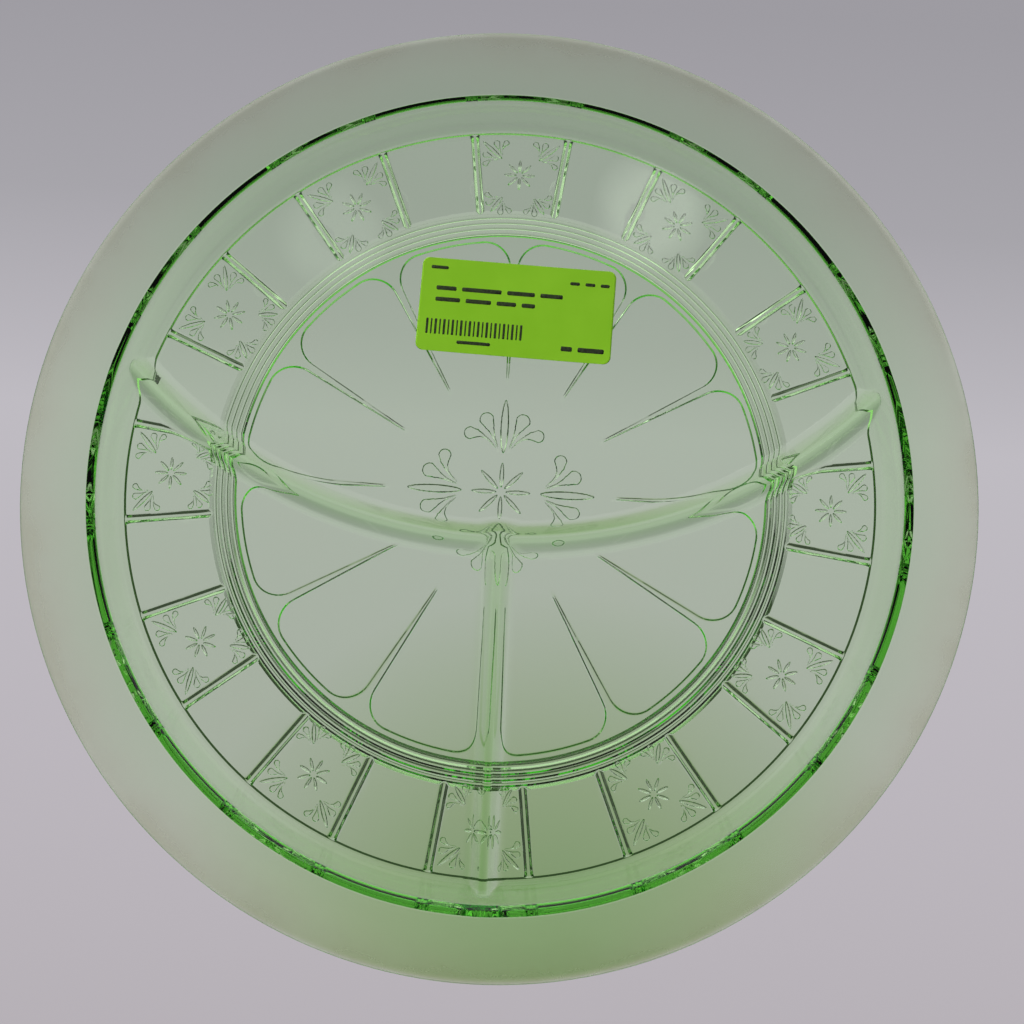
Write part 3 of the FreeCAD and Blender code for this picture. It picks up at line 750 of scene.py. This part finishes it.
def label_lift(x, y):
    """Height of the paper's underside above the glass: nearly flat, corners free."""
    u = x / (LABEL_LENGTH / 2)
    v = y / (LABEL_WIDTH / 2)
    curl = np.clip(np.abs(u) ** 5 * np.abs(v) ** 3, 0, 1)
    uneven = 1.0 + 0.45 * np.sin(2.0 * np.sign(u) + 1.3 * np.sign(v))
    ripple = LABEL_RIPPLE * np.sin(x / 4.1 + 0.6) * np.sin(y / 2.9 + x / 17.0)
    return LABEL_GAP + ripple + LABEL_CURL * curl * uneven


def on_label(x, y, height):
    """Place label coordinates on the dish."""
    c = math.cos(LABEL_TURN)
    s = math.sin(LABEL_TURN)
    z = FLOOR + label_lift(x, y) + height
    return np.stack([LABEL_MIDDLE.x + x * c - y * s, LABEL_MIDDLE.y + x * s + y * c, z], axis=-1)


def slab(x, y, low, high):
    """Closed sheet over a grid of plan points, as (points, quads)."""
    rows, columns = x.shape
    index = np.arange(rows * columns).reshape(rows, columns)
    points = np.concatenate([on_label(x, y, level).reshape(-1, 3) for level in (low, high)])
    lift = rows * columns
    upper = index + lift
    quads = [np.stack([upper[:-1, :-1], upper[:-1, 1:], upper[1:, 1:], upper[1:, :-1]], -1),
             np.stack([index[:-1, :-1], index[1:, :-1], index[1:, 1:], index[:-1, 1:]], -1)]
    ring = np.concatenate([index[0, :-1], index[:-1, -1], index[-1, :0:-1], index[:0:-1, 0]])
    after = np.roll(ring, -1)
    quads.append(np.stack([ring, after, after + lift, ring + lift], -1))
    return points, np.concatenate([quad.reshape(-1, 4) for quad in quads])


def rounded_grid(length, width, corner, across, along):
    """Plan grid that fills a rectangle with rounded corners; rows are denser at the ends."""
    v = np.sin(np.linspace(-1, 1, along) * math.pi / 2 * 0.999)
    y = v / v[-1] * width / 2
    over = np.maximum(np.abs(y) - (width / 2 - corner), 0.0)
    half = length / 2 - corner + np.sqrt(np.maximum(corner ** 2 - over ** 2, 0.0))
    u = np.linspace(-1, 1, across)
    return u[None, :] * half[:, None], np.repeat(y[:, None], across, axis=1)


def make_label():
    """The paper itself."""
    x, y = rounded_grid(LABEL_LENGTH, LABEL_WIDTH, LABEL_CORNER, *LABEL_GRID)
    points, quads = slab(x, y, 0.0, LABEL_PAPER)
    return mesh_from("label_paper", points, [quads])


# Printed marks: (left end, height on the label, lengths of the dashes, thickness).
PRINT_ROWS = (
    (-23.6, 10.2, (4.6,), 0.9),
    (13.8, 8.6, (2.6, 2.6, 2.4), 0.9),
    (-21.8, 4.6, (5.4, 10.6, 7.4, 6.0), 1.15),
    (-21.8, 1.5, (6.6, 6.8, 5.2, 3.6), 1.15),
    (-15.2, -9.9, (9.0,), 0.9),
    (12.6, -9.4, (3.0, 7.0), 1.3),
)
PRINT_GAP = 1.5
BAR_COUNT = 23
BAR_PITCH = 1.14
BAR_LEFT = -23.4
BAR_MIDDLE = -6.0
BAR_HEIGHT = 4.2
BAR_WIDTHS = (0.62, 0.4)
DASH_CORNER = 0.35
BAR_CORNER = 0.05
MARK_GRID = (5, 7)
INK_LEVELS = (0.002, 0.012)


def mark(length, width, corner, x, y):
    """One printed mark, a thin slab of ink that follows the paper."""
    corner = min(corner, width * 0.49, length * 0.49)
    across, along = rounded_grid(length, width, corner, *MARK_GRID)
    low, high = INK_LEVELS
    return slab(across + x, along + y, LABEL_PAPER + low, LABEL_PAPER + high)


def make_print():
    """Plain dashes and evenly spaced bars: a print with nothing to read."""
    blocks = []
    for left, level, lengths, thick in PRINT_ROWS:
        for length in lengths:
            blocks.append(mark(length, thick, DASH_CORNER, left + length / 2, level))
            left += length + PRINT_GAP
    for bar in range(BAR_COUNT):
        wide = BAR_WIDTHS[bar % 2]
        place = BAR_LEFT + bar * BAR_PITCH
        blocks.append(mark(wide, BAR_HEIGHT, BAR_CORNER, place, BAR_MIDDLE))
    points = []
    quads = []
    count = 0
    for block_points, block_quads in blocks:
        points.append(block_points)
        quads.append(block_quads + count)
        count += len(block_points)
    return mesh_from("label_print", np.concatenate(points), [np.concatenate(quads)])


# ---------------------------------------------------------------------------
# Small tools for materials
# ---------------------------------------------------------------------------
def new_material(name):
    """An empty material and its node tree."""
    material = bpy.data.materials.new(name)
    material.use_nodes = True
    tree = material.node_tree
    tree.nodes.clear()
    return material, tree


def add(tree, kind, inputs=None, **settings):
    """Add a node; inputs are constants by socket name or number."""
    node = tree.nodes.new(kind)
    for key, value in settings.items():
        setattr(node, key, value)
    for key, value in (inputs or {}).items():
        node.inputs[key].default_value = value
    return node


def ramp(tree, source, stops):
    """Colour ramp driven by a socket; stops are (position, (red, green, blue))."""
    node = add(tree, "ShaderNodeValToRGB")
    node.color_ramp.elements.remove(node.color_ramp.elements[1])
    node.color_ramp.elements[0].position = stops[0][0]
    node.color_ramp.elements[0].color = (*stops[0][1], 1.0)
    for position, colour in stops[1:]:
        node.color_ramp.elements.new(position).color = (*colour, 1.0)
    tree.links.new(source, node.inputs["Fac"])
    return node.outputs["Color"]


def mapped(tree, source, ends, values=(0.0, 1.0)):
    """A socket brought from two ends to two values, and held beyond them."""
    node = add(tree, "ShaderNodeMapRange", {
        "From Min": ends[0], "From Max": ends[1], "To Min": values[0], "To Max": values[1]})
    tree.links.new(source, node.inputs["Value"])
    return node.outputs["Result"]


def combined(tree, operation, *sources):
    """One or two sockets through a Math node."""
    node = add(tree, "ShaderNodeMath", operation=operation)
    for index, source in enumerate(sources):
        tree.links.new(source, node.inputs[index])
    return node.outputs["Value"]


def distance(tree, place, point):
    """Distance of a place from a fixed point."""
    node = add(tree, "ShaderNodeVectorMath", {1: point}, operation="DISTANCE")
    tree.links.new(place, node.inputs[0])
    return node.outputs["Value"]


def noise(tree, place, **inputs):
    """Noise over a place."""
    node = add(tree, "ShaderNodeTexNoise", inputs)
    tree.links.new(place, node.inputs["Vector"])
    return node.outputs["Fac"]


def object_place(tree):
    """Object coordinates, in metres."""
    return add(tree, "ShaderNodeTexCoord").outputs["Object"]


def grey(value):
    """The colour of an even grey."""
    return (value, value, value)


# ---------------------------------------------------------------------------
# Materials
# ---------------------------------------------------------------------------
GLASS_IOR = 1.52
GLASS_DENSITY = 58.0
GLASS_PASSES = (0.36, 0.9, 0.04, 1.0)

# Wear of the rim, and the tint towards its edge: the radii, in metres, where they start and
# are full, and their unevenness.
WEAR_AND_TINT_RADII = (0.104, 0.1205)
WEAR_AND_TINT_UNEVEN = 0.18
WORN_ROUGHNESS = ((0.0, grey(0.0)), (0.2, grey(0.02)), (0.6, grey(0.16)), (1.0, grey(0.3)))
RIM_EDGE_TINTS = (
    (0.0, (0.95, 1.0, 0.94)), (0.45, (0.97, 0.995, 0.93)),
    (0.8, (0.96, 0.95, 0.89)), (1.0, (0.91, 0.88, 0.80)))

PAPER_TONES = ((0.3, (0.335, 0.78, 0.018)), (0.7, (0.37, 0.83, 0.025)))
INK_TONES = ((0.35, (0.016, 0.022, 0.008)), (0.75, (0.05, 0.085, 0.02)))


def glass_material():
    """Clear uranium glass, worn a little milky, and coloured darker and beige towards the rim's
    edge.
    """
    material, tree = new_material("green_glass")
    out = add(tree, "ShaderNodeOutputMaterial")
    body = add(tree, "ShaderNodeBsdfPrincipled", {"Transmission Weight": 1.0, "IOR": GLASS_IOR})
    inside = add(tree, "ShaderNodeVolumeAbsorption", {
        "Color": GLASS_PASSES, "Density": GLASS_DENSITY})
    place = object_place(tree)
    smear = noise(tree, place, Scale=42.0, Detail=6.0, Roughness=0.65)
    flat = add(tree, "ShaderNodeVectorMath", {1: (1.0, 1.0, 0.0)}, operation="MULTIPLY")
    tree.links.new(place, flat.inputs[0])
    away = add(tree, "ShaderNodeVectorMath", operation="LENGTH")
    tree.links.new(flat.outputs["Vector"], away.inputs[0])
    worn = mapped(tree, away.outputs["Value"], WEAR_AND_TINT_RADII)
    patch = mapped(tree, smear, (0.3, 0.7), (-WEAR_AND_TINT_UNEVEN, WEAR_AND_TINT_UNEVEN))
    edge_share = combined(tree, "ADD", worn, patch)
    # The glass is coloured darker and beige towards the rim's edge.
    tree.links.new(ramp(tree, edge_share, RIM_EDGE_TINTS), body.inputs["Base Color"])
    tree.links.new(ramp(tree, edge_share, WORN_ROUGHNESS), body.inputs["Roughness"])
    tree.links.new(body.outputs["BSDF"], out.inputs["Surface"])
    tree.links.new(inside.outputs["Volume"], out.inputs["Volume"])
    return material


def paper_material():
    """Bright matt label paper with its fibres."""
    material, tree = new_material("label_paper")
    out = add(tree, "ShaderNodeOutputMaterial")
    body = add(tree, "ShaderNodeBsdfPrincipled", {"Roughness": 0.55, "Specular IOR Level": 0.35})
    place = object_place(tree)
    fibre = noise(tree, place, Scale=2600.0, Detail=4.0, Roughness=0.7)
    cloud = noise(tree, place, Scale=90.0, Detail=3.0)
    tree.links.new(ramp(tree, cloud, PAPER_TONES), body.inputs["Base Color"])
    bump = add(tree, "ShaderNodeBump", {"Strength": 0.25, "Distance": 0.00004})
    tree.links.new(fibre, bump.inputs["Height"])
    tree.links.new(bump.outputs["Normal"], body.inputs["Normal"])
    tree.links.new(body.outputs["BSDF"], out.inputs["Surface"])
    return material


def ink_material():
    """Thermal print: dark, a little uneven."""
    material, tree = new_material("label_ink")
    out = add(tree, "ShaderNodeOutputMaterial")
    body = add(tree, "ShaderNodeBsdfPrincipled", {"Roughness": 0.6})
    grain = noise(tree, object_place(tree), Scale=1800.0, Detail=3.0)
    tree.links.new(ramp(tree, grain, INK_TONES), body.inputs["Base Color"])
    tree.links.new(body.outputs["BSDF"], out.inputs["Surface"])
    return material


# ---------------------------------------------------------------------------
# Stage: camera, room and lamp, in metres
# ---------------------------------------------------------------------------
CAMERA_AT = Vector((3.41, -32.64, 265.7)) * MM
CAMERA_TILT = math.radians(-5.965)
CAMERA_SWAY = math.radians(0.31)
CAMERA_TURN = math.radians(3.29)
CAMERA_LENS = 35.16
CAMERA_SENSOR = 36.0
CAMERA_CLIP = (0.01, 20.0)


def make_camera():
    """The viewpoint above the dish, a little on the side of the straight divider."""
    data = bpy.data.cameras.new("camera")
    data.lens = CAMERA_LENS
    data.sensor_width = CAMERA_SENSOR
    data.clip_start, data.clip_end = CAMERA_CLIP
    camera = bpy.data.objects.new("camera", data)
    bpy.context.scene.collection.objects.link(camera)
    tilt = Matrix.Rotation(CAMERA_TILT, 3, "X") @ Matrix.Rotation(CAMERA_SWAY, 3, "Y")
    axes = Matrix.Rotation(CAMERA_TURN, 3, "Z") @ tilt.transposed()
    camera.matrix_world = Matrix.Translation(CAMERA_AT) @ axes.to_4x4()
    bpy.context.scene.camera = camera


LAMP_AT = Vector((-1.1, 1.0, 0.95))
LAMP_SIZE = (1.1, 0.8)
LAMP_WATTS = 16.0


def make_lamp():
    """A soft rectangular lamp which faces the dish, and isn't seen in the glass."""
    data = bpy.data.lights.new("lamp_side", "AREA")
    data.shape = "RECTANGLE"
    data.size, data.size_y = LAMP_SIZE
    data.energy = LAMP_WATTS
    lamp = bpy.data.objects.new("lamp_side", data)
    bpy.context.scene.collection.objects.link(lamp)
    lamp.location = LAMP_AT
    lamp.rotation_euler = (-LAMP_AT).to_track_quat("-Z", "Y").to_euler()
    lamp.visible_glossy = False
    lamp.visible_transmission = False


# The room's light by direction. It is dim overhead and below, and grows towards +Y
# between two values of Y. There it is a little less bright low down than high up.
ROOM_BASE = 0.08
ROOM_AHEAD = (0.27, 0.5)
ROOM_LEVELS = (0.05, 0.55)
ROOM_SHARES = (0.9, 1.0)

# Soft bright patches of the room: (direction, reach, strength).
WINDOWS = (
    ((0.116, 0.39, 0.914), 0.058, 1.7),
    ((-0.185, 0.35, 0.917), 0.055, 0.8),
)
WINDOW_CORE = 0.55

# The pale walls all round: how far up and down they reach, how far they are full, and
# how bright they are.
WALL_TOP = 0.38
WALL_FULL = 0.5 * WALL_TOP
WALL_STRENGTH = 0.6


def make_world():
    """A plain room with pale walls, bright overhead only towards +Y."""
    world = bpy.data.worlds.new("room")
    bpy.context.scene.world = world
    world.use_nodes = True
    tree = world.node_tree
    tree.nodes.clear()
    out = add(tree, "ShaderNodeOutputWorld")
    back = add(tree, "ShaderNodeBackground")
    place = add(tree, "ShaderNodeTexCoord").outputs["Generated"]
    axes = add(tree, "ShaderNodeSeparateXYZ")
    tree.links.new(place, axes.inputs["Vector"])
    ahead = mapped(tree, axes.outputs["Y"], ROOM_AHEAD)
    level = mapped(tree, axes.outputs["Z"], ROOM_LEVELS, ROOM_SHARES)
    base = add(tree, "ShaderNodeMath", {1: ROOM_BASE}, operation="ADD")
    tree.links.new(combined(tree, "MULTIPLY", ahead, level), base.inputs[0])
    total = base.outputs["Value"]
    for direction, reach, strength in WINDOWS:
        gap = distance(tree, place, direction)
        glow = mapped(tree, gap, (reach, WINDOW_CORE * reach), (0.0, strength))
        total = combined(tree, "ADD", total, glow)
    height = combined(tree, "ABSOLUTE", axes.outputs["Z"])
    walls = mapped(tree, height, (WALL_TOP, WALL_FULL), (0.0, WALL_STRENGTH))
    tree.links.new(combined(tree, "MAXIMUM", total, walls), back.inputs["Strength"])
    tree.links.new(back.outputs["Background"], out.inputs["Surface"])


# The floor: the level and half width of the sheet under the glass, how many times farther
# from the camera the wide floor is, and the tones over a span along Y. The tones hold
# painted shade, which makes the sheet darker towards +Y.
FLOOR_LEVEL = -0.17
FLOOR_HALF = 0.29
FLOOR_FACTOR = 2.0
FLOOR_SPAN = (-0.25, 0.25)
FLOOR_TONES_AND_SHADE = (
    (0.0, (0.46, 0.43, 0.46)), (0.3, (0.50, 0.47, 0.51)), (0.6, (0.52, 0.50, 0.54)),
    (0.8, (0.385, 0.375, 0.405)), (1.0, (0.34, 0.33, 0.36)))

# A painted green shadow of the glass on the sheet under it, near its -Y edge: the sheet is
# made darker and greener there, as by light that has passed through the glass.
PAINTED_SHADOW_MIDDLE = (0.03, -0.19, FLOOR_LEVEL)
PAINTED_SHADOW_REACH = 0.17
PAINTED_SHADOW_TONES = ((0.0, grey(1.0)), (0.5, (0.70, 0.82, 0.58)), (1.0, (0.46, 0.69, 0.33)))

# The box of walls, which starts just under the wide floor.
ROOM_HALF = 3.0
ROOM_LOW = -0.62
ROOM_HIGH = 2 * ROOM_HALF
WALL_COLOUR = (0.66, 0.65, 0.67, 1.0)


def emission_material(name):
    """A material that is lit evenly from within, its tree and its Emission node."""
    material, tree = new_material(name)
    out = add(tree, "ShaderNodeOutputMaterial")
    glow = add(tree, "ShaderNodeEmission")
    tree.links.new(glow.outputs["Emission"], out.inputs["Surface"])
    return material, tree, glow


def floor_material(name, with_painted_shadow):
    """Pale sheet, painted darker towards +Y, with the painted green shadow of the glass or not."""
    material, tree, glow = emission_material(name)
    place = object_place(tree)
    axes = add(tree, "ShaderNodeSeparateXYZ")
    tree.links.new(place, axes.inputs["Vector"])
    # Painted shade: the pale tone falls off towards +Y in place of light falling off.
    colour = ramp(tree, mapped(tree, axes.outputs["Y"], FLOOR_SPAN), FLOOR_TONES_AND_SHADE)
    if with_painted_shadow:
        # Painted shadow: a darker, greener patch where light through the glass would fall.
        inward = mapped(tree, distance(tree, place, PAINTED_SHADOW_MIDDLE), (0.0, PAINTED_SHADOW_REACH), (1.0, 0.0))
        shade = ramp(tree, inward, PAINTED_SHADOW_TONES)
        mixed = add(tree, "ShaderNodeMix", {0: 1.0}, data_type="RGBA", blend_type="MULTIPLY")
        tree.links.new(colour, mixed.inputs[6])
        tree.links.new(shade, mixed.inputs[7])
        colour = mixed.outputs[2]
    tree.links.new(colour, glow.inputs["Color"])
    return material


def make_sheet(name, corners, faces, material, directly):
    """One piece of the stage, seen directly or else only through and in the glass."""
    mesh = bpy.data.meshes.new(name)
    mesh.from_pydata(corners, [], faces)
    mesh.materials.append(material)
    sheet = bpy.data.objects.new(name, mesh)
    bpy.context.scene.collection.objects.link(sheet)
    sheet.visible_camera = directly
    sheet.visible_diffuse = not directly
    sheet.visible_glossy = not directly
    sheet.visible_transmission = not directly
    return sheet


def make_floor(name, half, directly):
    """A square of floor under the dish."""
    corners = [(-half, -half, FLOOR_LEVEL), (half, -half, FLOOR_LEVEL),
               (half, half, FLOOR_LEVEL), (-half, half, FLOOR_LEVEL)]
    material = floor_material(name, not directly)
    return make_sheet(name, corners, [(0, 1, 2, 3)], material, directly)


def make_walls():
    """A box round everything, plain and pale, seen directly."""
    corners = [(x, y, z) for z in (ROOM_LOW, ROOM_HIGH) for y in (-ROOM_HALF, ROOM_HALF)
               for x in (-ROOM_HALF, ROOM_HALF)]
    faces = [(0, 1, 3, 2), (4, 5, 7, 6), (0, 1, 5, 4), (2, 3, 7, 6), (0, 2, 6, 4), (1, 3, 7, 5)]
    material, _, glow = emission_material("wall")
    glow.inputs["Color"].default_value = WALL_COLOUR
    make_sheet("walls", corners, faces, material, True)


def make_room():
    """The floor that is seen through the glass, and the wide floor and walls round it.

    The wide floor lies farther down and is larger by the same factor, so that both look
    alike from the camera.
    """
    make_floor("floor_under_glass", FLOOR_HALF, False)
    wide = make_floor("floor_wide", ROOM_HALF / FLOOR_FACTOR, True)
    wide.scale = (FLOOR_FACTOR, FLOOR_FACTOR, FLOOR_FACTOR)
    wide.location = CAMERA_AT * (1 - FLOOR_FACTOR)
    make_walls()


def make_stage():
    """Everything that isn't the object."""
    make_camera()
    make_world()
    make_room()
    make_lamp()
    # Light crosses many faces of the glass before it leaves.
    cycles = bpy.context.scene.cycles
    cycles.max_bounces = 32
    cycles.glossy_bounces = 8
    cycles.transmission_bounces = 24
    bpy.context.scene.view_settings.view_transform = "Standard"


def main():
    """The three pieces of the object, and then the stage."""
    glass = make_glass()
    glass.data.materials.append(glass_material())
    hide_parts("pressed_glass_dish")
    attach(glass, "root")

    paper = make_label()
    paper.data.materials.append(paper_material())
    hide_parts("price_label")
    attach(paper, "root")

    ink = make_print()
    ink.data.materials.append(ink_material())
    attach(ink, "root")

    make_stage()


main()
